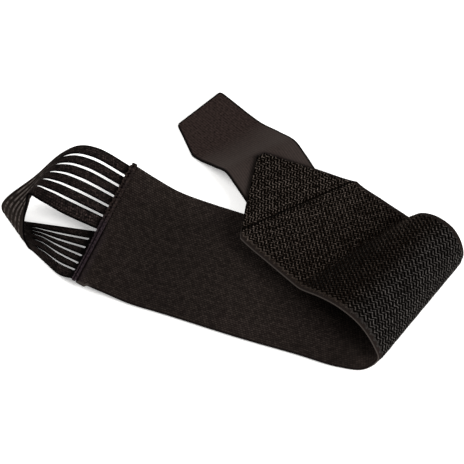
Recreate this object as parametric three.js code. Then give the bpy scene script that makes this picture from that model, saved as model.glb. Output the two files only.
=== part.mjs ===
// An elastic wrist wrap lying open on a flat surface, in millimetres, +Z up.
// One wide band rolls over at its right and folds back on itself, a narrow closure tab is sewn under
// the band's pointed end, and a slatted thumb loop is sewn to the band's left end.
import * as THREE from 'three';

// Driving dimensions of the flat pieces
const BAND_WIDTH = 72.5;
const BAND_THICKNESS = 2;
const POINT_BLUNT = 4; // width left at the tip of the band's triangular end
const TURN_LENGTH = 5; // the band's sewn end is turned in by this much
const TURN_NUB = 1.4; // and its fold stands out past the near edge
const TAB_WIDTH = 42;
const TAB_THICKNESS = 1.6;
const TAB_LAP = 6; // from the base of the band's point to the tab's hidden sewn end
const TAB_CLIP_LENGTH = 24; // the clipped corner, along the tab
const TAB_CLIP_WIDTH = 9; // and across it
const TAB_CORNER_RADIUS = 2;
const LOOP_THICKNESS = 1.1;
const SLAT_COUNT = 6;
const SLIT_LEAST = 0.4; // the slats lie closed where their slits would be narrower
const UPPER_ROOT = 1; // uncut strip at the loop's sewn end on the far half of the seam
const LOWER_ROOT = 1.4; // and on the near half
const UPPER_MARGIN = 0.8; // seam left bare past the far end of the upper root
const LOWER_MARGIN = 1.8; // and past the near end of the lower one
const ROOT_PARTING = 0.3; // and between the roots, each side of the place where they part
const PARTING_PLACE = -3; // across the band from its middle
const HEM_WIDTH = 2.6;
const HEM_HEIGHT = 2.8;
const HEM_NUB = 0.9; // how far the hem stands out past the band's edges
const SEWN_GAP = 0.3; // clearance between pieces that are sewn face to face
const ROOT_GAP = 0.9; // and between the hem and the roots, which tilt towards it

// Grain of the walls
const ALONG_STEP = 3.2;
const LOOP_STEP = 2.4;
const FINE_STEPS = 20; // measured steps between two cross-sections
const BAND_CELLS_ACROSS = 8;
const TAB_CELLS_ACROSS = 6;
const HEM_CELLS_ALONG = 24;
const HEM_CELLS_ACROSS = 6;
const HEM_ROUNDNESS = 0.85; // 1 would bring the ridge to a sharp edge at each side

// Where the middle of the footprint and the surface lie in the axes that the section tables use
const FOOTPRINT = { x: -1.4, y: 4.9, surface: -0.16 };

// The wrap's lay, a row for each cross-section from the seam, along the base, round the roll, back over
// the folded panel and out along the tab: the near edge, the far edge, and how far the middle sags.
const WRAP_SECTIONS = [
  { place: 'seam', near: [-75.8, -34.5, 5.2], far: [-48.3, 31.1, 13.6], sag: 4.5 },
  { place: 'lifted end', near: [-62.0, -39.8, 2.6], far: [-39.0, 27.4, 8.5], sag: 2.4 },
  { place: 'lifted end', near: [-49.5, -44.4, 1.3], far: [-27.5, 21.4, 4.0], sag: 1.0 },
  { place: 'base', near: [-34.0, -49.8, 1.0], far: [-9.5, 14.9, 1.3], sag: 0 },
  { place: 'base', near: [3.8, -65.2, 1.0], far: [30.0, 0.2, 1.0], sag: 0 },
  { place: 'base', near: [30.0, -75.9, 1.0], far: [62.0, -10.0, 1.0], sag: 0 },
  { place: 'base', near: [50.0, -83.1, 1.0], far: [89.0, -21.5, 1.0], sag: 0 },
  { place: 'roll foot', near: [62.0, -85.0, 1.7], far: [104.5, -25.6, 1.9], sag: 0 },
  { place: 'roll side', near: [68.0, -82.6, 5.2], far: [112.8, -23.4, 9.0], sag: 0 },
  { place: 'roll side', near: [66.1, -79.1, 12.0], far: [112.1, -22.1, 18.0], sag: 0 },
  { place: 'roll top', near: [59.8, -71.7, 18.6], far: [107.8, -17.1, 23.8], sag: 0 },
  { place: 'roll top', near: [50.8, -63.1, 21.0], far: [100.6, -11.0, 25.0], sag: 0 },
  { place: 'roll back', near: [41.2, -55.1, 18.8], far: [94.1, -4.7, 21.0], sag: 0 },
  { place: 'roll back', near: [33.4, -47.3, 13.8], far: [89.7, -0.4, 13.4], sag: 0 },
  { place: 'valley', near: [31.0, -44.8, 12.6], far: [88.7, 0.8, 11.0], sag: 0 },
  { place: 'panel', near: [28.0, -41.4, 12.2], far: [85.8, 4.2, 10.0], sag: 0 },
  { place: 'panel', near: [18.0, -29.4, 11.0], far: [76.0, 15.4, 7.2], sag: 0 },
  { place: 'base of the point', near: [5.0, -11.0, 9.5], far: [62.5, 28.4, 4.8], sag: 0 },
  { place: 'point', near: [-1.5, 4.0, 9.5], far: [54.5, 39.0, 7.0], sag: 0 },
  { place: 'point', near: [-9.0, 18.0, 11.0], far: [47.5, 50.5, 9.8], sag: 0 },
  { place: 'tip', near: [-14.5, 25.0, 11.5], far: [43.0, 59.5, 11.0], sag: 0 },
  { place: 'tab falling', near: [-21.0, 31.5, 6.5], far: [35.0, 70.5, 6.0], sag: 0 },
  { place: 'tab foot', near: [-29.0, 39.0, 1.5], far: [26.5, 80.5, 1.5], sag: 0 },
  { place: 'tab end', near: [-45.4, 54.2, 0.8], far: [4.2, 106.5, 0.8], sag: 0 },
];
const POINT_BASE_ROW = 17;
const TIP_ROW = 20;

// The thumb loop's lay, from the far part of the seam, up over the ridge, down the outer wall, under at
// the fold and back to the near part of the seam: the near rim, the far rim, and the share of each
// slat's pitch that its slit takes.
const LOOP_SECTIONS = [
  { place: 'upper leg', near: [-83.8, 5.8, 9.5], far: [-65.0, 39.6, 17.2], slit: 0.26 },
  { place: 'upper leg', near: [-94.0, 8.4, 15.0], far: [-76.0, 40.4, 18.8], slit: 0.25 },
  { place: 'ridge', near: [-100.4, 9.6, 17.3], far: [-84.0, 37.0, 17.6], slit: 0.16 },
  { place: 'outer wall', near: [-102.3, 5.5, 14.0], far: [-99.0, 25.6, 13.0], slit: 0.08 },
  { place: 'outer wall', near: [-103.3, 0.2, 8.0], far: [-113.5, 17.3, 6.0], slit: 0.08 },
  { place: 'outer wall', near: [-103.0, -6.4, 3.8], far: [-116.0, 15.2, 2.6], slit: 0.08 },
  { place: 'fold', near: [-101.0, -10.2, 0.9], far: [-115.0, 12.6, 0.8], slit: 0.08 },
  { place: 'lower leg', near: [-97.0, -14.6, 0.6], far: [-106.5, 7.2, 0.6], slit: 0.12 },
  { place: 'lower leg', near: [-85.4, -28.2, 2.0], far: [-86.5, 2.2, 1.8], slit: 0.2 },
];
const ROOT_SLIT = 0.26;

// A smooth surface through a table of cross-sections. The parameter t counts rows, and w is the distance
// in millimetres across the cloth from its centre line, negative towards the near edge.
class LaidCloth {
  constructor(sections) {
    const toPoint = (p) => new THREE.Vector3(...p);
    this.rows = sections.length - 1;
    this.near = new THREE.CatmullRomCurve3(sections.map((s) => toPoint(s.near)));
    this.far = new THREE.CatmullRomCurve3(sections.map((s) => toPoint(s.far)));
    this.sags = sections.map((s) => s.sag ?? 0);
    this.slits = sections.map((s) => s.slit ?? 0);
    this.lengths = this.measure();
  }

  edges(t) {
    return [this.near.getPoint(t / this.rows), this.far.getPoint(t / this.rows)];
  }

  // A column of the table at a place between its rows
  between(column, t) {
    const row = Math.min(Math.floor(t), this.rows - 1);
    return THREE.MathUtils.lerp(column[row], column[row + 1], t - row);
  }

  // The upward normal of the cloth at its centre line, before it sags
  rise(t) {
    const step = 0.02;
    const [nearBefore, farBefore] = this.edges(Math.max(t - step, 0));
    const [nearAfter, farAfter] = this.edges(Math.min(t + step, this.rows));
    const along = nearAfter.clone().add(farAfter).sub(nearBefore).sub(farBefore);
    return along.cross(farAfter.sub(nearAfter)).normalize();
  }

  pitchWidth(t) {
    const [near, far] = this.edges(t);
    return near.distanceTo(far);
  }

  point(t, w) {
    const [near, far] = this.edges(t);
    const across = far.clone().sub(near).normalize();
    const middle = near.add(far).multiplyScalar(0.5);
    const flat = middle.addScaledVector(across, w);
    const dip = this.between(this.sags, t) * (1 - (2 * w / this.pitchWidth(t)) ** 2);
    return dip === 0 ? flat : flat.addScaledVector(this.rise(t), -dip);
  }

  normal(t, w) {
    const step = 0.02;
    const before = Math.max(t - step, 0);
    const after = Math.min(t + step, this.rows);
    const along = this.point(after, w).sub(this.point(before, w));
    const across = this.point(t, w + step).sub(this.point(t, w - step));
    return along.cross(across).normalize();
  }

  lift(t, w, height) {
    return this.point(t, w).addScaledVector(this.normal(t, w), height);
  }

  // Length along the centre line up to each of many fine steps
  measure() {
    const lengths = [0];
    for (let i = 1; i <= this.rows * FINE_STEPS; i += 1) {
      const before = this.point((i - 1) / FINE_STEPS, 0);
      lengths.push(lengths[i - 1] + this.point(i / FINE_STEPS, 0).distanceTo(before));
    }
    return lengths;
  }

  get length() {
    return this.lengths[this.lengths.length - 1];
  }

  lengthAt(t) {
    const i = Math.min(Math.floor(t * FINE_STEPS), this.lengths.length - 2);
    return THREE.MathUtils.lerp(this.lengths[i], this.lengths[i + 1], t * FINE_STEPS - i);
  }

  atLength(wanted) {
    let i = 0;
    while (i < this.lengths.length - 2 && this.lengths[i + 1] < wanted) i += 1;
    const share = (wanted - this.lengths[i]) / (this.lengths[i + 1] - this.lengths[i]);
    return (i + share) / FINE_STEPS;
  }

  // Row parameters at even steps of length from one of them to another
  stops(from, to, step) {
    const start = this.lengthAt(from);
    const span = this.lengthAt(to) - start;
    const count = Math.round(span / step);
    return Array.from({ length: count + 1 }, (_, k) => this.atLength(start + span * k / count));
  }
}

// A closed wall from a grid of cells. place(i, j, side) gives a corner on the lower or upper face, and
// cells that isOpen names are left out, with side walls around them.
function cellWall(alongCells, acrossCells, place, isOpen = () => false) {
  const positions = [];
  const filled = (i, j) => i >= 0 && j >= 0 && i < alongCells && j < acrossCells && !isOpen(i, j);
  const quad = (a, b, c, d) => {
    for (const p of [a, b, c, a, c, d]) positions.push(p.x, p.y, p.z);
  };
  for (let i = 0; i < alongCells; i += 1) {
    for (let j = 0; j < acrossCells; j += 1) {
      if (!filled(i, j)) continue;
      const low = [place(i, j, -1), place(i + 1, j, -1), place(i + 1, j + 1, -1), place(i, j + 1, -1)];
      const top = [place(i, j, 1), place(i + 1, j, 1), place(i + 1, j + 1, 1), place(i, j + 1, 1)];
      quad(top[0], top[1], top[2], top[3]);
      quad(low[3], low[2], low[1], low[0]);
      const neighbours = [[i, j - 1], [i + 1, j], [i, j + 1], [i - 1, j]];
      neighbours.forEach(([m, n], side) => {
        const next = (side + 1) % 4;
        if (!filled(m, n)) quad(low[side], low[next], top[next], top[side]);
      });
    }
  }
  const geometry = new THREE.BufferGeometry();
  geometry.setAttribute('position', new THREE.Float32BufferAttribute(positions, 3));
  geometry.computeVertexNormals();
  return geometry;
}

function clothMesh(name, geometry, color, roughness) {
  const material = new THREE.MeshStandardMaterial({ color, roughness, metalness: 0 });
  const mesh = new THREE.Mesh(geometry, material);
  mesh.name = name;
  mesh.position.set(-FOOTPRINT.x, -FOOTPRINT.y, -FOOTPRINT.surface);
  return mesh;
}

const wrap = new LaidCloth(WRAP_SECTIONS);

// The direction that the band leaves the seam in, and the line that a root of the loop is sewn along
const SEAM_INWARD = wrap.point(0.3, 0).sub(wrap.point(0, 0)).normalize();
const seamPoint = (w, back) => wrap.point(0, w).addScaledVector(SEAM_INWARD, -back);
const LOOP_BACK = SEWN_GAP + HEM_WIDTH + ROOT_GAP;
const ROOT_SAG = WRAP_SECTIONS[0].sag / 4; // half of a sagging line bows by a quarter as much
const rootSection = (nearSide, farSide, sag) => ({
  near: seamPoint(nearSide, LOOP_BACK).toArray(),
  far: seamPoint(farSide, LOOP_BACK).toArray(),
  sag,
  slit: ROOT_SLIT,
});
const loop = new LaidCloth([
  rootSection(PARTING_PLACE + ROOT_PARTING, BAND_WIDTH / 2 - UPPER_MARGIN, -ROOT_SAG),
  ...LOOP_SECTIONS,
  rootSection(LOWER_MARGIN - BAND_WIDTH / 2, PARTING_PLACE - ROOT_PARTING, ROOT_SAG),
]);

// How far an edge draws in near a rounded corner, by the distance left to the end
function cornerInset(left, radius) {
  const reach = Math.max(0, radius - left);
  return radius - Math.sqrt(radius ** 2 - reach ** 2);
}

// The band is full width from the seam to the base of its point, then narrows in straight lines.
function mainBand() {
  const pointStart = wrap.lengthAt(POINT_BASE_ROW);
  const pointLength = wrap.lengthAt(TIP_ROW) - pointStart;
  const stops = [
    ...wrap.stops(0, POINT_BASE_ROW, ALONG_STEP),
    ...wrap.stops(POINT_BASE_ROW, TIP_ROW, ALONG_STEP).slice(1),
  ];
  const place = (i, j, side) => {
    const taper = Math.max(0, wrap.lengthAt(stops[i]) - pointStart) / pointLength;
    const width = THREE.MathUtils.lerp(BAND_WIDTH, POINT_BLUNT, taper);
    const nub = j === 0 && wrap.lengthAt(stops[i]) < TURN_LENGTH ? TURN_NUB : 0;
    return wrap.lift(stops[i], width * (j / BAND_CELLS_ACROSS - 0.5) - nub, side * BAND_THICKNESS / 2);
  };
  const wall = cellWall(stops.length - 1, BAND_CELLS_ACROSS, place);
  return clothMesh('main_band', wall, 0x1b1816, 0.9);
}

// The tab lies against the inner face of the band's point, which faces down there, and runs on past it
// to the surface. Its near end corner is clipped and the corners are rounded.
function closureTab() {
  const sewnOffset = (BAND_THICKNESS + TAB_THICKNESS) / 2 + SEWN_GAP;
  const start = wrap.atLength(wrap.lengthAt(POINT_BASE_ROW) + TAB_LAP);
  const roundStart = wrap.atLength(wrap.length - TAB_CORNER_RADIUS);
  const stops = [
    ...wrap.stops(start, roundStart, ALONG_STEP),
    ...wrap.stops(roundStart, wrap.rows, ALONG_STEP / 4).slice(1),
  ];
  const half = TAB_WIDTH / 2;
  const place = (i, j, side) => {
    const left = wrap.length - wrap.lengthAt(stops[i]);
    const rounding = cornerInset(left, TAB_CORNER_RADIUS);
    const clip = TAB_CLIP_WIDTH * Math.max(0, 1 - left / TAB_CLIP_LENGTH);
    const w = THREE.MathUtils.lerp(-half + clip + rounding, half - rounding, j / TAB_CELLS_ACROSS);
    const settled = THREE.MathUtils.smoothstep(stops[i], TIP_ROW, TIP_ROW + 2);
    return wrap.lift(stops[i], w, sewnOffset * (1 - settled) + side * TAB_THICKNESS / 2);
  };
  const wall = cellWall(stops.length - 1, TAB_CELLS_ACROSS, place);
  return clothMesh('closure_tab', wall, 0x2e2725, 0.85);
}

// Six slats cut in one strip, joined by an uncut root at each end.
function thumbLoop() {
  const upperCut = loop.atLength(UPPER_ROOT);
  const lowerCut = loop.atLength(loop.length - LOWER_ROOT);
  const stops = [0, ...loop.stops(upperCut, lowerCut, LOOP_STEP), loop.rows];
  const columns = 2 * SLAT_COUNT - 1; // slats, and the slits between them
  const place = (i, j, side) => {
    const t = stops[i];
    const slit = loop.between(loop.slits, t) / 2;
    const slatEdge = Math.ceil(j / 2) + (j % 2 ? -slit : slit);
    const cut = j === 0 || j === columns ? j / columns : slatEdge / SLAT_COUNT;
    return loop.lift(t, loop.pitchWidth(t) * (cut - 0.5), side * LOOP_THICKNESS / 2);
  };
  const slitWidth = (t) => loop.between(loop.slits, t) * loop.pitchWidth(t) / SLAT_COUNT;
  const isSlit = (i, j) => j % 2 === 1 && i > 0 && i < stops.length - 2 && slitWidth(stops[i]) > SLIT_LEAST;
  const wall = cellWall(stops.length - 1, columns, place, isSlit);
  return clothMesh('thumb_loop', wall, 0x1b1816, 0.9);
}

// The seam allowance is rolled into a low rounded ridge that runs past both edges of the band.
function loopHem() {
  const reach = BAND_WIDTH / 2 + HEM_NUB;
  const place = (i, j, side) => {
    const w = THREE.MathUtils.lerp(-reach, reach, i / HEM_CELLS_ALONG);
    const share = j / HEM_CELLS_ACROSS;
    const crown = Math.sqrt(1 - HEM_ROUNDNESS * (2 * share - 1) ** 2);
    const middle = seamPoint(w, SEWN_GAP + HEM_WIDTH * share);
    return middle.addScaledVector(wrap.normal(0, w), side * crown * HEM_HEIGHT / 2);
  };
  return clothMesh('loop_hem', cellWall(HEM_CELLS_ALONG, HEM_CELLS_ACROSS, place), 0x191614, 0.9);
}

const wristSupport = new THREE.Group();
wristSupport.name = 'wrist_support';
wristSupport.add(mainBand(), closureTab(), thumbLoop(), loopHem());

export default wristSupport;
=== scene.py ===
import math

import bmesh
import bpy
import numpy as np
from mathutils import Matrix, Vector


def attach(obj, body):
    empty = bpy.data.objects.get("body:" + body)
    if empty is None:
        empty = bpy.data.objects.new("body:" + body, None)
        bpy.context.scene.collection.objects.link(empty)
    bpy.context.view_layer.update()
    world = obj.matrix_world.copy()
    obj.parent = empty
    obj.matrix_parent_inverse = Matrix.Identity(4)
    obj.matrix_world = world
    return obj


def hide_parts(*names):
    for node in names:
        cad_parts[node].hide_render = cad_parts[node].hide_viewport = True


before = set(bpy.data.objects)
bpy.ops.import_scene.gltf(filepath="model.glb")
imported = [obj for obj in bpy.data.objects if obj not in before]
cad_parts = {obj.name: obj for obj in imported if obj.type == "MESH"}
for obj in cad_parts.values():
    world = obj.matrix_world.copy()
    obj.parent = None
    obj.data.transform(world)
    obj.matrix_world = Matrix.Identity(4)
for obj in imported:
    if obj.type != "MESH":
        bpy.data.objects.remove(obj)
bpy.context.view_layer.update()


# Elastic band
# A three-inch strip of black woven elastic, ribbed on the face that goes to the wrist. It lies open with
# that face up, rolls over at the right and comes back over itself, and its free end is cut to a triangle.
MM = 0.001
BAND_WIDTH = 72.5
BAND_CLOTH = 1.4  # thickness of the woven ground, without its pile
BAND_FACE = 1.0  # from the middle of the laid surface to the ribbed face
POINT_BLUNT = 4.0  # width left at the tip of the triangle
BAND_STEP = 1.6
SEAM_DETAIL = 0.4
BAND_FACE_CELLS = 40
EDGE_CELLS = 8
RIB_PITCH = 1.15
PICK_LENGTH = 1.5
RIB_RELIEF = 0.25
WEAR_PATCH = 3.0  # size of the patches in which the ribs are worn
FOOTPRINT = np.array([-1.4, 4.9, -0.16])  # middle of the footprint on the surface, in the tables' axes
FINE_STEPS = 20  # measured steps between two rows of a table
WELD = 0.001  # points nearer than this are one
END_ROWS = np.array([0, 0.06, 0.25, 0.55])  # rows of a rounded end, as shares of its radius
CLOTH_GLOSS = 0.015  # black cloth hardly shines

# Relief of the turned-in end beside the hem: distance from the band's end and rise of the ribbed face
SEAM_RELIEF = np.array([
    (0.0, -0.35),  # groove
    (0.6, -0.35),
    (1.3, 0.45),  # strip of turned-in cloth
    (4.6, 0.45),
    (5.8, -0.15),  # crease
    (7.4, 0.0),
])
UPPER_RELIEF = 0.3  # share of it that the upper half of the seam shows
RELIEF_ACROSS = (-4.0, 6.0)  # across the band, where the lower half ends and the upper half starts
TURN_NUB = 1.4  # how far the turned-in fold stands out past the near edge
NUB_ALONG = np.array([(0.0, 0.6), (4.0, 1.0), (5.0, 0.0)])  # distance from the band's end and share of it
NUB_ACROSS = (-36.0, -9.0)  # across the band, where it is full and where it starts
TURNED_TINT = 0.4  # how much of its own colour the turned-in strip shows
TURNED_ALONG = (2.4, 3.6)  # from the band's end, where that colour runs out
TURNED_ACROSS = (-6.0, 0.0)
EDGE_PALE = 0.4  # strength of the painted highlight over the whole edge beside the seam
EDGE_PALE_END = 2.0  # and over which length it darkens
HIGHLIGHT_LINE = 0.5  # where the painted highlight runs along the edge, from its middle towards the pile, as a share
HIGHLIGHT_SPREAD = 0.3

# Rows of the wrap's lay: near edge x, y, z, far edge x, y, z, and how far the middle sags, in millimetres
WRAP_ROWS = np.array([
    (-75.8, -34.5, 5.2, -48.3, 31.1, 13.6, 4.5),  # seam
    (-62.0, -39.8, 2.6, -39.0, 27.4, 8.5, 2.4),  # lifted end
    (-49.5, -44.4, 1.3, -27.5, 21.4, 4.0, 1.0),
    (-34.0, -49.8, 1.0, -9.5, 14.9, 1.3, 0.0),  # base
    (3.8, -65.2, 1.0, 30.0, 0.2, 1.0, 0.0),
    (30.0, -75.9, 1.0, 62.0, -10.0, 1.0, 0.0),
    (50.0, -83.1, 1.0, 89.0, -21.5, 1.0, 0.0),
    (62.0, -85.0, 1.7, 104.5, -25.6, 1.9, 0.0),  # foot of the roll
    (68.0, -82.6, 5.2, 112.8, -23.4, 9.0, 0.0),  # side of the roll
    (66.1, -79.1, 12.0, 112.1, -22.1, 18.0, 0.0),
    (59.8, -71.7, 18.6, 107.8, -17.1, 23.8, 0.0),  # top of the roll
    (50.8, -63.1, 21.0, 100.6, -11.0, 25.0, 0.0),
    (41.2, -55.1, 18.8, 94.1, -4.7, 21.0, 0.0),  # back of the roll
    (33.4, -47.3, 13.8, 89.7, -0.4, 13.4, 0.0),
    (31.0, -44.8, 12.6, 88.7, 0.8, 11.0, 0.0),  # valley
    (28.0, -41.4, 12.2, 85.8, 4.2, 10.0, 0.0),  # folded panel
    (18.0, -29.4, 11.0, 76.0, 15.4, 7.2, 0.0),
    (5.0, -11.0, 9.5, 62.5, 28.4, 4.8, 0.0),  # base of the point
    (-1.5, 4.0, 9.5, 54.5, 39.0, 7.0, 0.0),
    (-9.0, 18.0, 11.0, 47.5, 50.5, 9.8, 0.0),
    (-14.5, 25.0, 11.5, 43.0, 59.5, 11.0, 0.0),  # tip of the point
    (-21.0, 31.5, 6.5, 35.0, 70.5, 6.0, 0.0),  # tab falling
    (-29.0, 39.0, 1.5, 26.5, 80.5, 1.5, 0.0),  # tab on the surface
    (-45.4, 54.2, 0.8, 4.2, 106.5, 0.8, 0.0),
])
ROLL_ROW = 7
VALLEY_ROW = 14
POINT_BASE_ROW = 17
TIP_ROW = 20
HIGHLIGHT_ROWS = (ROLL_ROW - 1, ROLL_ROW, POINT_BASE_ROW, POINT_BASE_ROW + 0.4)  # where the painted highlight runs along the edge


def smooth_line(points, t):
    """Points of a centripetal spline through the rows of a table, at row numbers t."""
    ends = np.vstack([2 * points[0] - points[1], points, 2 * points[-1] - points[-2]])
    row = np.clip(np.floor(t).astype(int), 0, len(points) - 2)
    p0, p1, p2, p3 = (ends[row + k] for k in range(4))
    d0, d1, d2 = (np.linalg.norm(b - a, axis=-1)[..., None] ** 0.5
                  for a, b in ((p0, p1), (p1, p2), (p2, p3)))
    leave = ((p1 - p0) / d0 - (p2 - p0) / (d0 + d1) + (p2 - p1) / d1) * d1
    reach = ((p2 - p1) / d1 - (p3 - p1) / (d1 + d2) + (p3 - p2) / d2) * d1
    s = (t - row)[..., None]
    bend = 3 * (p2 - p1) - 2 * leave - reach
    return p1 + s * leave + s**2 * bend + s**3 * (2 * (p1 - p2) + leave + reach)


class LaidCloth:
    """A cloth surface through a table of cross-sections: t counts rows, w is millimetres across."""

    def __init__(self, rows):
        self.near, self.far, self.sags = rows[:, 0:3], rows[:, 3:6], rows[:, 6]
        self.last = len(rows) - 1
        self.fine = np.linspace(0, self.last, self.last * FINE_STEPS + 1)
        steps = np.diff(self.point(self.fine, 0 * self.fine), axis=0)
        self.lengths = np.concatenate([[0], np.cumsum(np.linalg.norm(steps, axis=1))])

    def edges(self, t):
        return smooth_line(self.near, t), smooth_line(self.far, t)

    def width(self, t):
        near, far = self.edges(t)
        return np.linalg.norm(far - near, axis=-1)

    def rise(self, t, step=0.02):
        """The normal at the centre line before the cloth sags."""
        before = sum(self.edges(np.maximum(t - step, 0)))
        near, far = self.edges(np.minimum(t + step, self.last))
        up = np.cross(near + far - before, far - near)
        return up / np.linalg.norm(up, axis=-1)[..., None]

    def point(self, t, w):
        near, far = self.edges(t)
        across = far - near
        span = np.linalg.norm(across, axis=-1)
        dip = np.interp(t, np.arange(self.last + 1), self.sags) * (1 - (2 * w / span) ** 2)
        return (near + far) / 2 + across * (w / span)[..., None] - self.rise(t) * dip[..., None]

    def normal(self, t, w, step=0.02):
        along = self.point(np.minimum(t + step, self.last), w) - self.point(np.maximum(t - step, 0), w)
        up = np.cross(along, self.point(t, w + step) - self.point(t, w - step))
        return up / np.linalg.norm(up, axis=-1)[..., None]

    def lift(self, length, w, height):
        """Places in millimetres at lengths along the cloth, off its surface by height."""
        t = self.row_at(length)
        return self.point(t, w) + self.normal(t, w) * height[..., None]

    def length_at(self, row):
        return float(np.interp(row, self.fine, self.lengths))

    def row_at(self, length):
        return np.interp(length, self.lengths, self.fine)


wrap = LaidCloth(WRAP_ROWS)
POINT_START = wrap.length_at(POINT_BASE_ROW)
POINT_END = wrap.length_at(TIP_ROW)


def band_half(length):
    """Half the band's width, which narrows in straight lines over the point."""
    taper = np.clip((length - POINT_START) / (POINT_END - POINT_START), 0, 1)
    return (BAND_WIDTH + (POINT_BLUNT - BAND_WIDTH) * taper) / 2


def flat_oval(step, face_steps, edge_steps):
    """A flat strip's section with round edges: across, bulge of the edge and height, each from -1 to 1."""
    turn = face_steps + edge_steps
    side = np.where(step >= turn, -1, 1)
    s = np.where(step >= turn, step - turn, step)
    angle = np.clip(s - face_steps, 0, edge_steps) / edge_steps * np.pi
    return side * (np.clip(s / face_steps, 0, 1) * 2 - 1), side * np.sin(angle), side * np.cos(angle)


def round_end(left, radius):
    """How thick an end still is, as a share, by the distance left to it."""
    return np.sqrt(1 - (1 - np.clip(left / radius, 0, 1)) ** 2)


def with_ends(start, end, step, radius):
    """Lengths from start to end at even steps, with close ones where both ends round off."""
    close = radius * END_ROWS
    middle = np.linspace(start + radius, end - radius, round((end - start) / step))
    return np.concatenate([start + close, middle, end - close[::-1]])


def cloth_mesh(name, along_steps, around_steps, places, slots=()):
    """Closed walls of cloth, each a grid rolled round its section.

    A place function gives each grid point its place, its place on the flat cloth, kept as a map, and its
    marks for the materials.
    """
    joined = bmesh.new()
    for place in places:
        sheet = bmesh.new()
        bmesh.ops.create_grid(sheet, x_segments=along_steps, y_segments=around_steps, size=0.5)
        mesh = bpy.data.meshes.new(name)
        sheet.to_mesh(mesh)
        sheet.clear()
        spread = np.empty(3 * len(mesh.vertices))
        mesh.vertices.foreach_get("co", spread)
        steps = np.rint((spread.reshape(-1, 3)[:, :2] + 0.5) * (along_steps, around_steps)).astype(int)
        where, on_cloth, marks = place(steps[:, 0], steps[:, 1])
        mesh.vertices.foreach_set("co", ((where - FOOTPRINT) * MM).ravel())
        corners = np.empty(len(mesh.loops), int)
        mesh.loops.foreach_get("vertex_index", corners)
        mesh.uv_layers.new(name="cloth").data.foreach_set("uv", (on_cloth[corners] * MM).ravel())
        for mark, values in marks.items():
            mesh.attributes.new(mark, "FLOAT", "POINT").data.foreach_set("value", values.astype(float))
        around = steps[corners, 1].reshape(-1, 4).mean(axis=1)
        slot = np.zeros(len(around), int)
        for number, first, last in slots:
            slot[(around > first) & (around < last)] = number
        mesh.polygons.foreach_set("material_index", slot)
        sheet.from_mesh(mesh)
        bmesh.ops.remove_doubles(sheet, verts=sheet.verts, dist=WELD * MM)
        bmesh.ops.holes_fill(sheet, edges=[edge for edge in sheet.edges if edge.is_boundary], sides=0)
        sheet.to_mesh(mesh)
        sheet.free()
        joined.from_mesh(mesh)
        bpy.data.meshes.remove(mesh)
    bmesh.ops.recalc_face_normals(joined, faces=joined.faces)
    for face in joined.faces:
        face.smooth = True
    mesh = bpy.data.meshes.new(name)
    joined.to_mesh(mesh)
    joined.free()
    return mesh


def add_piece(name, mesh, slot, *materials):
    """A finished piece on the wrap, with its materials. The slot is not used."""
    for material in materials:
        mesh.materials.append(material)
    piece = bpy.data.objects.new(name, mesh)
    bpy.context.scene.collection.objects.link(piece)
    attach(piece, "root")
    return piece


def linear(colour):
    """An sRGB hex colour as linear red, green, blue and alpha."""
    shares = [int(colour[k:k + 2], 16) / 255 for k in (1, 3, 5)]
    return [s / 12.92 if s <= 0.04045 else ((s + 0.055) / 1.055) ** 2.4 for s in shares] + [1.0]


def node(tree, kind, inputs=None, **settings):
    """Adds a node with its settings; its inputs take values or other nodes' outputs."""
    made = tree.nodes.new(kind)
    for name, value in settings.items():
        setattr(made, name, value)
    for name, value in (inputs or {}).items():
        if isinstance(value, bpy.types.NodeSocket):
            tree.links.new(value, made.inputs[name])
        else:
            made.inputs[name].default_value = value
    return made


def matt_cloth(name, colour, roughness):
    """A new material for dull cloth, with its node tree and shader; nodes may replace the plain colour."""
    material = bpy.data.materials.new(name)
    material.use_nodes = True
    shader = material.node_tree.nodes["Principled BSDF"]
    shader.inputs["Base Color"].default_value = linear(colour)
    shader.inputs["Roughness"].default_value = roughness
    shader.inputs["Specular IOR Level"].default_value = CLOTH_GLOSS
    return material, material.node_tree, shader


# Ribbed face: lengthwise ribs of staggered picks, low in contrast, with a smooth strip beside the seam
ribbed, tree, shader = matt_cloth("black_elastic_ribbed", "#1c1816", 0.8)
on_cloth = node(tree, "ShaderNodeUVMap", uv_map="cloth")
picks = node(tree, "ShaderNodeTexBrick", {
    "Vector": on_cloth.outputs["UV"],
    "Color1": linear("#26201d"),
    "Color2": linear("#181311"),
    "Mortar": linear("#0c0a09"),
    "Scale": 1 / MM,
    "Mortar Size": 0.2,
    "Mortar Smooth": 0.8,
    "Brick Width": PICK_LENGTH,
    "Row Height": RIB_PITCH,
})
wear = node(tree, "ShaderNodeTexNoise", {
    "Vector": on_cloth.outputs["UV"],
    "Scale": 1 / (WEAR_PATCH * MM),
    "Detail": 6.0,
})
shade = node(tree, "ShaderNodeMapRange", {
    "Value": wear.outputs["Fac"],
    "From Min": 0.3,
    "From Max": 0.7,
    "To Min": 0.8,
    "To Max": 1.2,
})
# painted light and shade from the band's table, multiplied into the ribbed face's colour
tone_and_painted_light = node(tree, "ShaderNodeAttribute", attribute_name="tone_and_painted_light")
lit = node(tree, "ShaderNodeMath", {0: shade.outputs["Result"], 1: tone_and_painted_light.outputs["Fac"]},
           operation="MULTIPLY")
tinted = node(tree, "ShaderNodeVectorMath", {0: picks.outputs["Color"], 1: lit.outputs["Value"]},
              operation="MULTIPLY")
turned = node(tree, "ShaderNodeAttribute", attribute_name="turned")
stripped = node(tree, "ShaderNodeMix", {
    "Factor": turned.outputs["Fac"],
    "A": tinted.outputs["Vector"],
    "B": linear("#221c1e"),
}, data_type="RGBA")
tree.links.new(stripped.outputs["Result"], shader.inputs["Base Color"])
relief = node(tree, "ShaderNodeBump", {
    "Height": picks.outputs["Fac"],
    "Strength": 0.7,
    "Distance": RIB_RELIEF * MM,
}, invert=True)
tree.links.new(relief.outputs["Normal"], shader.inputs["Normal"])

# Selvedge: the plain margin beside the pile, about as dark as the ribs
selvedge = matt_cloth("black_elastic_selvedge", "#1a1513", 0.85)[0]
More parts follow.
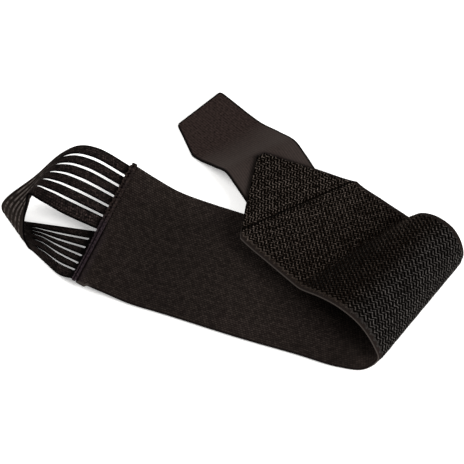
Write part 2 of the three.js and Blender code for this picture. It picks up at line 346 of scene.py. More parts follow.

# Edge: the thin side of the weave, with a painted highlight over the whole edge beside the seam and as a
# thin line along it from the roll to the base of the point
edge_yarn, tree, shader = matt_cloth("black_elastic_edge", "#3a3330", 0.85)
pale = node(tree, "ShaderNodeAttribute", attribute_name="pale")
# painted highlight on the edge, mixed in by the pale mark
edge_colour = node(tree, "ShaderNodeMix", {
    "Factor": pale.outputs["Fac"],
    "A": linear("#120e0d"),
    "B": linear("#48423e"),
}, data_type="RGBA")
tree.links.new(edge_colour.outputs["Result"], shader.inputs["Base Color"])

seam_reach = SEAM_RELIEF[-1, 0]
band_stops = np.union1d(with_ends(0, POINT_END, BAND_STEP, BAND_CLOTH / 2),
                        np.arange(BAND_CLOTH, seam_reach, SEAM_DETAIL))
highlight_lengths = [0, seam_reach - EDGE_PALE_END, seam_reach] + [wrap.length_at(row) for row in HIGHLIGHT_ROWS]

# Painted light and shade on the ribbed face, as shares of its colour: lighter under the panel's edge and
# much lighter inside the roll, darker at the roll's mouth. Row and share
PAINTED_LIGHT = np.array([
    (0.0, 1.18),  # seam
    (2.6, 0.96),  # lifted end
    (4.0, 1.3),  # under the panel's edge
    (6.0, 0.87),  # mouth of the roll
    (8.5, 1.8),  # inside the roll
    (12.5, 1.8),
    (13.5, 1.0),
])
painted_light_lengths = [wrap.length_at(row) for row in PAINTED_LIGHT[:, 0]]
FAR_PAINTED_LIGHT = 0.45  # how much more painted light it gets along the far edge of the lifted end
FAR_LIGHT_ROWS = (2.6, 3.4)
FAR_LIGHT_ACROSS = (20.0, 33.0)
far_light_lengths = [wrap.length_at(row) for row in FAR_LIGHT_ROWS]


def band_place(i, j):
    """The band's wall, at steps i along it and j round its section."""
    length = band_stops[i]
    across, bulge, height = flat_oval(j, BAND_FACE_CELLS, EDGE_CELLS)
    radius = BAND_CLOTH / 2
    w = across * (band_half(length) - radius) + bulge * radius
    w = w - TURN_NUB * np.interp(length, *NUB_ALONG.T) * np.interp(w, NUB_ACROSS, [1, 0])
    thick = round_end(np.minimum(length, POINT_END - length), radius) * radius
    # painted highlight: over the whole edge beside the seam, and a thin line from the roll to the point
    pale = np.interp(length, highlight_lengths, [EDGE_PALE, EDGE_PALE, 0, 0, 1, 1, 0])
    pale = pale * np.where(length < seam_reach, 1, np.exp(-(((height + HIGHLIGHT_LINE) / HIGHLIGHT_SPREAD) ** 2)))
    relief = np.interp(length, *SEAM_RELIEF.T) * np.interp(w, RELIEF_ACROSS, [1, UPPER_RELIEF])
    where = wrap.lift(length, w, BAND_FACE - radius + height * thick + relief * np.maximum(height, 0))
    turned = TURNED_TINT * np.interp(length, TURNED_ALONG, [1, 0]) * np.interp(w, TURNED_ACROSS, [1, 0])
    # painted light and shade along the band, with more painted light on the far edge of the lifted end
    tone_and_painted_light = np.interp(length, painted_light_lengths, PAINTED_LIGHT[:, 1])
    far_light = np.interp(length, far_light_lengths, [FAR_PAINTED_LIGHT, 0]) * np.interp(w, FAR_LIGHT_ACROSS, [0, 1])
    tone_and_painted_light = tone_and_painted_light + far_light
    return where, np.stack([length, w], axis=-1), {"pale": pale, "turned": turned, "tone_and_painted_light": tone_and_painted_light}


band_turn = BAND_FACE_CELLS + EDGE_CELLS
band = add_piece(
    "elastic_band",
    cloth_mesh("elastic_band", len(band_stops) - 1, 2 * band_turn, [band_place],
               slots=[(1, BAND_FACE_CELLS, 2 * band_turn), (2, BAND_FACE_CELLS, band_turn),
                      (2, band_turn + BAND_FACE_CELLS, 2 * band_turn)]),
    "pile_elastic", ribbed, selvedge, edge_yarn,
)
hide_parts("main_band")


# Loop pile
# The outer face carries a low looped pile for the hook closure, knitted into the band: zigzag ridges along
# it, in step with each other, that end at plain selvedges and just short of the point's cut edges.
PILE_PITCH = 1.86
PILE_RIDGES = 37
PILE_PERIOD = 3.3  # length of one zigzag
PILE_SWING = 0.85  # and how far it swings to each side
PILE_HEIGHT = 0.8
PILE_BORDER = 0.4  # width over which it rises at its cut sides
PILE_START = 4.2  # from the seam
PILE_SHIFT = -0.13  # from the middle of the band to that of the pile
POINT_SEAM = 2.35  # from the base of the point to the seam across it, at the middle of the band
POINT_SEAM_LEAN = -0.0375
SEAM_PRESS = 0.45  # half the width that this seam presses down
SEAM_LEFT = 0.12  # and the share of the pile that stands in it
VALLEY_PRESS = 0.6
VALLEY_LEFT = 0.8
PILE_ROOT = 0.25  # how far the pile reaches into the ground
NEAR_LIP = 0.4  # plain lip along the point's near cut edge
FAR_LIP = 1.3  # and along its far one
RIDGE_CELLS = 6
ZIG_CELLS = 7  # rows in one zigzag, on the part that shows
UNDER_STRIDE = 3  # the hidden underside has only every third row
UNDER_CELLS = 4
STRAY = 0.08  # how far single loops stray sideways
CRUSH = 0.15  # share of its height that a single loop may have lost
LIMP = 0.2  # and that half a zigzag may have lost
ROLL_WEAR = 0.7  # how worn the pile is up to the roll, against the panel
LOOP_SIZE = 0.8  # of the loops that catch the light
LOOP_RELIEF = 0.4
HOLLOW = 0.45  # up to this share of its height the yarn gets painted shade, nearly black
GROUND_FACE = BAND_FACE - BAND_CLOTH

# Look of the pile: lower round the roll and pressed behind it, greyer round the roll with a painted cool
# reflection and browner behind it. Row, share of the pile that stands, how brown it is and how evenly its
# loops take the light
PILE_LOOK = np.array([
    (ROLL_ROW, 0.88, 1.0, 0.35),
    (ROLL_ROW + 1, 0.78, 0.45, 0.57),  # side of the roll
    (10.2, 0.8, 0.5, 0.57),  # top of the roll
    (11.2, 0.66, 1.1, 0.58),  # back of the roll
    (VALLEY_ROW - 0.8, 0.62, 1.15, 0.55),
    (VALLEY_ROW, 0.8, 1.15, 0.5),
    (POINT_BASE_ROW, 1.0, 1.05, 0.3),
])
look_lengths = [wrap.length_at(row) for row in PILE_LOOK[:, 0]]
FAR_BACK = 0.13  # how much more of it stands at the far end of the roll's back
FAR_BACK_ROWS = (11.2, 12.0, 12.9, 13.2)
FAR_BACK_ACROSS = (0.0, 25.0)
far_back_lengths = [wrap.length_at(row) for row in FAR_BACK_ROWS]
FRINGE = (0.3, 0.75)  # share of the outermost near ridge that stands, on the roll and on the panel
FRINGE_HOLLOW_LIGHT = 0.46  # the least painted light in its hollows, so that they look about as light as the selvedge beside it
FRINGE_EVEN = 0.95
fringe_lengths = [wrap.length_at(VALLEY_ROW - 1), wrap.length_at(VALLEY_ROW + 1)]
wear_lengths = [wrap.length_at(VALLEY_ROW - 2), wrap.length_at(VALLEY_ROW)]

# The far edge runs a longer way than the near one, so the zigzags lean to stay in step on the cloth itself
fine_edges = [np.concatenate([[0], np.cumsum(np.linalg.norm(np.diff(edge, axis=0), axis=1))])
              for edge in wrap.edges(wrap.fine)]
leans = (fine_edges[1] - fine_edges[0]) / BAND_WIDTH

zig_step = PILE_PERIOD / ZIG_CELLS
under_zigs = int((wrap.length_at(ROLL_ROW) - PILE_START) / (UNDER_STRIDE * zig_step))
last_zig = int((POINT_END - FAR_LIP - PILE_START) / zig_step)
pile_steps = np.concatenate([UNDER_STRIDE * np.arange(under_zigs),
                             np.arange(UNDER_STRIDE * under_zigs, last_zig + 1)])
pile_stops = PILE_START + pile_steps * zig_step
pile_columns = PILE_RIDGES * RIDGE_CELLS
pile_around = pile_columns + UNDER_CELLS + 2
chance = np.random.default_rng(11)
stray = chance.normal(0, 1, (len(pile_stops), PILE_RIDGES + 1))
crush = chance.uniform(0.0, 1.0, (len(pile_stops), PILE_RIDGES + 1))
limp = chance.uniform(0.0, 1.0, (int(2 * POINT_END / PILE_PERIOD), PILE_RIDGES + 1))


def pressed(distance, width, left):
    """How much of the pile stands at a distance from a line that presses it down to the share left."""
    return 1 - (1 - left) * np.exp(-((distance / width) ** 4))


def pile_place(i, j):
    """The pile, at steps i along it and j across its ridges and back under them."""
    length = pile_stops[i]
    back = np.clip((pile_columns + 1 + UNDER_CELLS - j) / UNDER_CELLS, 0, 1)
    column = np.where(j <= pile_columns, j, pile_columns * back)
    ridge = (column / RIDGE_CELLS).astype(int)
    flat_w = PILE_SHIFT + (column / RIDGE_CELLS - PILE_RIDGES / 2) * PILE_PITCH
    turn = (length + np.interp(length, wrap.lengths, leans) * flat_w - PILE_START) / PILE_PERIOD
    zig = 4 * np.abs(turn - np.floor(turn + 0.5)) - 1  # straight to and fro between -1 and 1
    near_side = PILE_SHIFT - PILE_PITCH * PILE_RIDGES / 2
    low = np.maximum(near_side - PILE_SWING, NEAR_LIP - band_half(length))
    high = np.minimum(PILE_SHIFT + PILE_PITCH * PILE_RIDGES / 2, band_half(length) - FAR_LIP)
    worn = np.interp(length, wear_lengths, [ROLL_WEAR, 1])
    w = np.clip(flat_w + PILE_SWING * zig + STRAY * worn * stray[i, ridge], low, high)
    half_zig = np.floor(2 * turn).astype(int) % len(limp)
    stands = 1 - worn * (CRUSH * crush[i, ridge] + LIMP * limp[half_zig, ridge])
    crest = (0.5 - 0.5 * np.cos(2 * np.pi * column / RIDGE_CELLS)) * stands
    crest = crest * np.clip(np.minimum(w - low, high - w) / PILE_BORDER, 0, 1)
    from_seam = length - POINT_START - POINT_SEAM - POINT_SEAM_LEAN * w
    crest = crest * pressed(from_seam, SEAM_PRESS, SEAM_LEFT)
    crest = crest * pressed(length - wrap.length_at(VALLEY_ROW), VALLEY_PRESS, VALLEY_LEFT)
    standing, brown, even = (np.interp(length, look_lengths, look) for look in PILE_LOOK.T[1:])
    far_back = np.interp(length, far_back_lengths, [0, FAR_BACK, FAR_BACK, 0])
    far_back = far_back * np.interp(w, FAR_BACK_ACROSS, [0, 1])
    fringe = np.interp(length, fringe_lengths, FRINGE)
    crest = crest * (standing + far_back) * np.where(ridge == 0, fringe, 1)
    crest = np.where((i == 0) | (i == len(pile_stops) - 1), 0, crest)
    under = (j > pile_columns) & (j < pile_around)
    height = np.where(under, GROUND_FACE + PILE_ROOT, GROUND_FACE - PILE_HEIGHT * crest)
    # painted light by height: near-black shade in the hollows, grey highlights on the loop tops
    light_share = np.maximum(crest, np.where(ridge == 0, FRINGE_HOLLOW_LIGHT, 0))
    marks = {"crest": light_share, "brown": brown, "even": np.where(ridge == 0, FRINGE_EVEN, even)}
    return wrap.lift(length, w, height), np.stack([length, w], axis=-1), marks


# Pile: painted shade, near-black, between the ridges and painted grey highlights on the loop tops, in
# specks
pile_yarn, tree, shader = matt_cloth("black_loop_pile", "#1b1816", 0.9)
shader.inputs["Specular IOR Level"].default_value = 0.0
shader.inputs["Sheen Weight"].default_value = 0.03
shader.inputs["Sheen Roughness"].default_value = 0.4
shader.inputs["Sheen Tint"].default_value = linear("#eef6f4")
on_cloth = node(tree, "ShaderNodeUVMap", uv_map="cloth")
crest = node(tree, "ShaderNodeAttribute", attribute_name="crest")
loops = node(tree, "ShaderNodeTexNoise", {
    "Vector": on_cloth.outputs["UV"],
    "Scale": 1 / (LOOP_SIZE * MM),
    "Detail": 3.0,
})
brown = node(tree, "ShaderNodeAttribute", attribute_name="brown")
even = node(tree, "ShaderNodeAttribute", attribute_name="even")
speck = node(tree, "ShaderNodeMapRange", {
    "Value": loops.outputs["Fac"],
    "From Min": 0.3,
    "From Max": 0.7,
    "To Min": even.outputs["Fac"],
    "To Max": 1.2,
})
# painted light and shade of the pile, from each loop's height and the specks
bright = node(tree, "ShaderNodeMath", {0: crest.outputs["Fac"], 1: speck.outputs["Result"]},
              operation="MULTIPLY")
yarn = node(tree, "ShaderNodeValToRGB", {"Fac": bright.outputs["Value"]})
yarn.color_ramp.elements[0].color = linear("#000000")
yarn.color_ramp.elements[1].color = linear("#6a6059")
yarn.color_ramp.elements.new(HOLLOW).color = linear("#100b08")
# painted cool reflection: the yarn's colour is greyed round the roll
greyed = node(tree, "ShaderNodeHueSaturation", {
    "Saturation": brown.outputs["Fac"],
    "Color": yarn.outputs["Color"],
})
tree.links.new(greyed.outputs["Color"], shader.inputs["Base Color"])
relief = node(tree, "ShaderNodeBump", {
    "Height": loops.outputs["Fac"],
    "Strength": 0.8,
    "Distance": LOOP_RELIEF * MM,
})
tree.links.new(relief.outputs["Normal"], shader.inputs["Normal"])

pile = add_piece(
    "loop_pile",
    cloth_mesh("loop_pile", len(pile_stops) - 1, pile_around, [pile_place]),
    "pile_elastic", pile_yarn,
)


# Closure tab
# A narrow strip of fine ribbed cloth, paler and browner than the band, sewn under the point. Its cut edges
# are welded to a thin dark line; the near corner of its free end is clipped and both corners are rounded.
TAB_WIDTH = 42.0
TAB_CLOTH = 1.2
TAB_LAP = 6.0
TAB_CLIP_LENGTH = 24.0
TAB_CLIP_WIDTH = 9.0
TAB_CORNER = 2.0
TAB_STEP = 0.8
TAB_FACE_CELLS = 56
TAB_SOLE = 0.8  # from the middle of the laid surface to the surface the tab rests on
TAB_GAP = 0.05  # between the band's face and the tab's lap
SETTLE_ROWS = 2  # rows over which it comes down from the point
TAB_RIB = 1.3  # drawn twice as coarse as the real ribs, which are too fine to show
TAB_GRAIN = 1.2
TAB_RELIEF = 0.2
TAB_RIM = (0.8, 1.4)  # from the edge, where the welded line ends and the cloth is plain
RIB_SHARE = 0.3  # how much of the pattern is ribs, the rest being grain
RIB_DRAWN = 0.6  # and how much more where it is drawn tight
WAVE_TURN = math.pi / 10  # a wave texture's period at scale 1
POINT_SLANT = 0.8  # distance square to the point's cut edge, as a share of that across the band
SHADE = 0.6  # how dark the painted shadow on the tab is beside that edge
SHADE_REACH = 1.4  # and how far

# How tight the tab is drawn over the fold, which also sets a paler painted sheen there: row and share
TAB_DRAWN = np.array([
    (TIP_ROW, 0.3),
    (20.4, 0.5),
    (20.7, 0.48),
    (21.0, 0.36),
    (21.4, 0.28),
    (22.1, 0.0),
])
SIDE_DRAWN = 0.12  # how much tighter along its sides, with more painted sheen
SIDE_ACROSS = (8.0, 16.0)

tab_start = POINT_START + TAB_LAP
tab_end = wrap.length_at(wrap.last)
tab_stops = with_ends(tab_start, tab_end, TAB_STEP, TAB_CLOTH / 2)


def corner_cut(left):
    """How far a rounded corner takes the edge in, by the length left to the end."""
    return TAB_CORNER * (1 - round_end(left, TAB_CORNER))


def tab_place(i, j):
    """The tab's wall, at steps i along it and j round its section."""
    length = tab_stops[i]
    left = tab_end - length
    radius = TAB_CLOTH / 2
    clip = TAB_CLIP_WIDTH * np.clip(1 - left / TAB_CLIP_LENGTH, 0, 1)
    low = -TAB_WIDTH / 2 + clip + corner_cut(left)
    high = TAB_WIDTH / 2 - corner_cut(left)
    across, bulge, height = flat_oval(j, TAB_FACE_CELLS, EDGE_CELLS)
    w = (low + high) / 2 + across * ((high - low) / 2 - radius) + bulge * radius
    thick = round_end(np.minimum(length - tab_start, left), radius) * radius
    settle = np.clip((wrap.row_at(length) - TIP_ROW) / SETTLE_ROWS, 0, 1)
    settle = settle**2 * (3 - 2 * settle)
    middle = (1 - settle) * (BAND_FACE + radius + TAB_GAP) + settle * (TAB_SOLE - radius)
    rim = np.minimum(np.minimum(w - low, high - w), left)
    where = wrap.lift(length, w, middle + height * thick)
    drawn = np.interp(wrap.row_at(length), *TAB_DRAWN.T)
    drawn = drawn + np.minimum(drawn, SIDE_DRAWN) * np.interp(np.abs(w), SIDE_ACROSS, [0, 1])
    # painted shadow on the tab beside the point's cut edge
    beside = POINT_SLANT * np.maximum(np.abs(w) - band_half(length), length - POINT_END)
    shaded = SHADE * np.exp(-((np.maximum(beside, 0) / SHADE_REACH) ** 2))
    return where, np.stack([length, w], axis=-1), {"rim": rim * MM, "drawn": drawn, "shaded": shaded}


# Tab cloth: fine ribs and grain, with a paler painted sheen where it is drawn over the fold, a dark line
# round its welded edge and a painted shadow beside the point's cut edge
tab_cloth, tree, shader = matt_cloth("brown_black_ribbed_tab", "#362e2b", 0.75)
on_cloth = node(tree, "ShaderNodeUVMap", uv_map="cloth")
ribs = node(tree, "ShaderNodeTexWave", {
    "Vector": on_cloth.outputs["UV"],
    "Scale": WAVE_TURN / (TAB_RIB * MM),
    "Distortion": 0.3,
    "Detail": 1.0,
}, bands_direction="Y")
rim = node(tree, "ShaderNodeAttribute", attribute_name="rim")
inside = node(tree, "ShaderNodeMapRange", {
    "Value": rim.outputs["Fac"],
    "From Min": TAB_RIM[0] * MM,
    "From Max": TAB_RIM[1] * MM,
})
grain = node(tree, "ShaderNodeTexNoise", {
    "Vector": on_cloth.outputs["UV"],
    "Scale": 1 / (TAB_GRAIN * MM),
    "Detail": 3.0,
})
yarns = node(tree, "ShaderNodeMapRange", {
    "Value": grain.outputs["Fac"],
    "From Min": 0.3,
    "From Max": 0.7,
})
drawn = node(tree, "ShaderNodeAttribute", attribute_name="drawn")
ribbing = node(tree, "ShaderNodeMath", {0: drawn.outputs["Fac"], 1: RIB_DRAWN, 2: RIB_SHARE},
               operation="MULTIPLY_ADD")
thread_relief = node(tree, "ShaderNodeMix", {
    0: ribbing.outputs["Value"],
    2: yarns.outputs["Result"],
    3: ribs.outputs["Fac"],
})
weave = node(tree, "ShaderNodeMix", {
    "Factor": thread_relief.outputs[0],
    "A": linear("#0e0a09"),
    "B": linear("#332926"),
}, data_type="RGBA")
# painted sheen: a paler grey where the tab is drawn over the fold
sheened = node(tree, "ShaderNodeMix", {
    "Factor": drawn.outputs["Fac"],
    "A": weave.outputs["Result"],
    "B": linear("#3b3532"),
}, data_type="RGBA")
edged = node(tree, "ShaderNodeMix", {
    "Factor": inside.outputs["Result"],
    "A": linear("#080605"),
    "B": sheened.outputs["Result"],
}, data_type="RGBA")
# painted shadow beside the point's cut edge
shaded = node(tree, "ShaderNodeAttribute", attribute_name="shaded")
point_shadowed = node(tree, "ShaderNodeMix", {
    "Factor": shaded.outputs["Fac"],
    "A": edged.outputs["Result"],
    "B": linear("#080605"),
}, data_type="RGBA")
tree.links.new(point_shadowed.outputs["Result"], shader.inputs["Base Color"])
relief = node(tree, "ShaderNodeBump", {
    "Height": thread_relief.outputs[0],
    "Strength": 0.5,
    "Distance": TAB_RELIEF * MM,
})
tree.links.new(relief.outputs["Normal"], shader.inputs["Normal"])

tab = add_piece(
    "closure_tab_cloth",
    cloth_mesh("closure_tab_cloth", len(tab_stops) - 1, 2 * (TAB_FACE_CELLS + EDGE_CELLS), [tab_place]),
    "ribbed_tab", tab_cloth,
)
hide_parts("closure_tab")


# Seam hem
# The band's end is turned over the thumb loop and sewn down as a soft folded tube with a nub past each edge
# of the band. A crease runs along it, and it puckers and lumps under its stitches, most on its upper half.
HEM_WIDTH = 3.3
HEM_NARROWS = 0.9  # how much narrower the tube is at its near end
HEM_TAPER = 20.0  # from the middle, over which it narrows
HEM_END = 0.4  # share of its width left at the rounded ends
HEM_HEIGHT = 2.4
HEM_MIDDLE = 0.8  # the tube lies on the band's end, a little above its middle
HEM_NUB = 0.9
HEM_STEP = 0.6
HEM_CELLS = 24
HEM_START = -0.1  # how far the tube laps the band's end
UPPER_REACH = 8.0  # from the middle to where the upper half's looks are full
UPPER_FLAT = 0.3  # how much flatter the tube is there
GROOVE_DEPTH = 0.65  # of the crease along it
GROOVE_LOSS = 0.3  # how much shallower that is on the upper half
GROOVE_PLACE = -0.1  # its place and half its width, as cosines round the tube
GROOVE_HALF = 0.28
DARK_BELOW = 0.9  # where the tube is lower than this, it gets painted shade, as in a crease
LOWER_DARK = 0.5
UPPER_DARK = 0.6  # how much more on the upper half
WANDER = 0.1  # how far the tube's edge wanders on the slats' side
UPPER_WANDER = 0.2
TWILL = 0.9  # spacing of the binding's twill
TWILL_RELIEF = 0.15
HEM_FLUFF = 1.1  # size of the tufts on it
SEAM_STEP = 0.3  # part of a row, over which the band's direction at the seam is taken

# Waves of the tube: size, turns along the seam in radians per millimetre, turns round the tube and phase
LUMPS = ((0.1, 2.1, 1, 0), (0.1, 0.93, 0, 1))
PUCKERS = ((0.32, 3.1, 2, 0), (0.24, 5.3, -1, 0))
WANDERING = ((1, 1.7, 0, 0), (1, 4.1, 0, 1))

seam_inward = wrap.point(np.array([SEAM_STEP]), np.zeros(1))[0] - wrap.point(np.zeros(1), np.zeros(1))[0]
seam_inward /= np.linalg.norm(seam_inward)


def seam_place(w, back, height):
    """Places in millimetres beside the seam: w across the band, back from its end and up off it."""
    row = np.zeros_like(w)
    return wrap.point(row, w) - seam_inward * back[..., None] + wrap.normal(row, w) * height[..., None]


hem_reach = BAND_WIDTH / 2 + HEM_NUB
hem_stops = with_ends(-hem_reach, hem_reach, HEM_STEP, HEM_HEIGHT / 2)


def waves(table, w, angle):
    """Sum of a table's waves at places along the seam and angles round the tube."""
    return sum(size * np.sin(along * w + around * angle + phase) for size, along, around, phase in table)


def hem_place(i, j):
    """The tube, at steps i along the seam and j round it."""
    w = hem_stops[i]
    angle = 2 * np.pi * j / HEM_CELLS
    round_off = round_end(hem_reach - np.abs(w), HEM_HEIGHT / 2)
    upper = np.clip(w / UPPER_REACH, 0, 1)
    groove = np.exp(-(((np.cos(angle) - GROOVE_PLACE) / GROOVE_HALF) ** 2))
    groove = groove * (GROOVE_DEPTH - GROOVE_LOSS * upper)
    pucker = 1 - UPPER_FLAT * upper - groove + waves(LUMPS, w, angle) + upper * waves(PUCKERS, w, angle)
    width = HEM_WIDTH - HEM_NARROWS * np.clip(-w / HEM_TAPER, 0, 1)
    back = HEM_START + width / 2 - width / 2 * np.cos(angle) * (HEM_END + (1 - HEM_END) * round_off)
    wander = (WANDER + UPPER_WANDER * upper) * waves(WANDERING, w, angle)
    back = back + wander * (1 - np.cos(angle)) / 2
    height = HEM_MIDDLE + HEM_HEIGHT / 2 * np.sin(angle) * pucker * round_off
    # painted shade in the hollows of the puckers and along the crease
    crease = (LOWER_DARK + UPPER_DARK * upper) * np.clip(DARK_BELOW - pucker, 0, 1)
    crease = crease + np.where(angle < np.pi, groove, 0)
    on_cloth = np.stack([w, 0.5 * HEM_WIDTH * angle], axis=-1)
    return seam_place(w, back, height), on_cloth, {"crease": crease, "upper": upper}


# Binding: smooth tight cloth with a faint twill and some fluff, plum-black below and browner above, with
# nearly black painted shade in its crease and the hollows of its puckers
binding, tree, shader = matt_cloth("black_seam_binding", "#181416", 0.8)
on_cloth = node(tree, "ShaderNodeUVMap", uv_map="cloth")
twill = node(tree, "ShaderNodeTexWave", {
    "Vector": on_cloth.outputs["UV"],
    "Scale": WAVE_TURN / (TWILL * MM),
    "Distortion": 1.5,
    "Detail": 2.0,
}, bands_direction="DIAGONAL")
relief = node(tree, "ShaderNodeBump", {
    "Height": twill.outputs["Fac"],
    "Strength": 0.5,
    "Distance": TWILL_RELIEF * MM,
})
tree.links.new(relief.outputs["Normal"], shader.inputs["Normal"])
upper = node(tree, "ShaderNodeAttribute", attribute_name="upper")
# the binding's own tone: plum-black below and browner above
tone_and_painted_light = node(tree, "ShaderNodeMix", {
    "Factor": upper.outputs["Fac"],
    "A": linear("#231c1f"),
    "B": linear("#261f1c"),
}, data_type="RGBA")
crease = node(tree, "ShaderNodeAttribute", attribute_name="crease")
folded = node(tree, "ShaderNodeMix", {
    "Factor": crease.outputs["Fac"],
    "A": tone_and_painted_light.outputs["Result"],
    "B": linear("#020102"),
}, data_type="RGBA")
fluff = node(tree, "ShaderNodeTexNoise", {
    "Vector": on_cloth.outputs["UV"],
    "Scale": 1 / (HEM_FLUFF * MM),
    "Detail": 2.0,
})
shade = node(tree, "ShaderNodeMapRange", {
    "Value": fluff.outputs["Fac"],
    "From Min": 0.35,
    "From Max": 0.65,
    "To Min": 0.3,
    "To Max": 1.9,
})
tinted = node(tree, "ShaderNodeVectorMath", {0: folded.outputs["Result"], 1: shade.outputs["Result"]},
              operation="MULTIPLY")
tree.links.new(tinted.outputs["Vector"], shader.inputs["Base Color"])

hem = add_piece(
    "seam_hem",
    cloth_mesh("seam_hem", len(hem_stops) - 1, HEM_CELLS, [hem_place]),
    "seam_binding", binding,
)
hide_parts("loop_hem")


# Thumb loop
# A strip of ribbed elastic slit lengthwise into six slats, sewn into the hem at both ends. It leaves the
# upper half of the seam, turns down over its ridge, folds under and comes back to the lower half.
SLATS = 6
SLAT_CLOTH = 1.1
SLAT_STEP = 0.9
SLAT_FACE_CELLS = 8
SLAT_EDGE_CELLS = 4
SLAT_RIB = 1.2  # drawn coarser than the real ribs, so that they show
SLAT_PICK = 1.2
SLAT_RELIEF = 0.25
SLAT_FLUFF = 0.8  # size of the flecks of yarn
FLECKS = 1.5  # how bright they are
UPPER_FLECKS = 1.2  # and how much brighter at the upper root, where painted light falls
FRAY = 1.6  # size of the frayed tufts on the cut edges
SLAT_FULL = 4.9  # a slat with less room than this cups inwards
SLAT_CUP = 0.4  # by this share of what it lacks
UPPER_ROOT = 1.2
LOWER_ROOT = 2.2
SLIT_ROUND = 0.5
SLIT_ROWS = np.array([0, 0.1, 0.3, 0.6, 1.0])  # rows of a slit's rounded end, as shares of that
UPPER_SLIT = 0.18
LOWER_SLIT = 0.24
LOWER_CROWD = -0.05
CROWD_LEAN = 0.8  # below 1, so that the slats on the near side shift most
HEM_SHADOW_REACH = 2.4  # how far from the hem the painted shadow of the hem reaches on the slats
EDGE_BAND_FROM = 0.99  # share of half a slat's width past which its edge gets painted shade
EDGE_SHADE_DARK = 0.8  # and how dark that painted shade is
WALL_ROWS = (2.5, 4.0, 7.0, 8.5)  # where the pale cut edges start to show, are full and end
ROOT_LIGHT_ROWS = (0.9, 1.9)  # where the painted light on the upper root's flecks starts to fade and ends
LOOP_BACK = 2.0  # from the band's end to the loop's own, inside the hem
PARTING_PLACE = -3.4  # across the band, where the upper and the lower root part
UPPER_PARTING = 0.3
LOWER_PARTING = 0.8
UPPER_MARGIN = 1.2
LOWER_MARGIN = 0.6
ROOT_SAG = WRAP_ROWS[0, 6] / 4

# Shares of the strip's width that the slats take, from its near edge, where the slat is wider
SLAT_SHARES = np.array([1.3, 1, 1, 1, 1, 1])
slat_edges = np.concatenate([[0], np.cumsum(SLAT_SHARES)]) / SLAT_SHARES.sum()

# Rows of the loop's lay from the upper part of the seam to the lower one, as in the wrap's table, then the
# share of an inner slat's room that its slit takes and how far the slats crowd towards the far edge
LOOP_ROWS = np.array([
    (-83.8, 4.4, 8.8, -67.5, 40.4, 17.6, -0.4, 0.19, 0.0),  # upper leg
    (-94.6, 7.6, 14.8, -77.0, 40.9, 19.2, -0.9, 0.17, 0.0),
    (-101.2, 9.6, 17.6, -85.5, 36.9, 18.0, -0.4, 0.09, 0.0),  # ridge
    (-102.3, 5.5, 14.0, -99.0, 25.6, 13.0, 0.0, 0.0, 0.0),  # outer wall
    (-103.3, 0.2, 8.0, -113.5, 17.3, 6.0, 0.0, 0.0, 0.0),
    (-103.0, -6.4, 3.8, -116.0, 15.2, 2.6, 0.0, 0.0, 0.0),
    (-101.0, -10.2, 0.9, -115.0, 12.6, 0.8, 0.0, 0.0, 0.08),  # fold
    (-97.0, -14.6, 0.6, -106.5, 7.2, 0.6, 0.0, 0.04, 0.19),  # lower leg
    (-91.0, -21.7, 1.2, -96.3, 4.5, 1.2, 0.0, 0.12, 0.165),
    (-84.6, -28.6, 2.0, -86.5, 2.1, 2.0, 0.0, 0.21, 0.075),
])

root_ends = seam_place(
    np.array([PARTING_PLACE + UPPER_PARTING, BAND_WIDTH / 2 - UPPER_MARGIN,
              LOWER_MARGIN - BAND_WIDTH / 2, PARTING_PLACE - LOWER_PARTING]),
    np.full(4, LOOP_BACK), np.zeros(4))
upper_root = np.concatenate([root_ends[0], root_ends[1], [-ROOT_SAG, UPPER_SLIT, 0]])
lower_root = np.concatenate([root_ends[2], root_ends[3], [ROOT_SAG, LOWER_SLIT, LOWER_CROWD]])
loop_rows = np.vstack([upper_root, LOOP_ROWS, lower_root])
loop = LaidCloth(loop_rows)
loop_length = loop.length_at(loop.last)
slit_end = SLIT_ROUND * SLIT_ROWS
slat_stops = np.unique(np.concatenate([
    with_ends(0, loop_length, SLAT_STEP, SLAT_CLOTH / 2),
    UPPER_ROOT + slit_end,
    loop_length - LOWER_ROOT - slit_end,
]))


def crowded(share, crowd):
    """Where a slat's edge lies across the strip once the slats crowd towards the far edge."""
    return share + crowd * np.sin(np.pi * share**CROWD_LEAN) ** 2


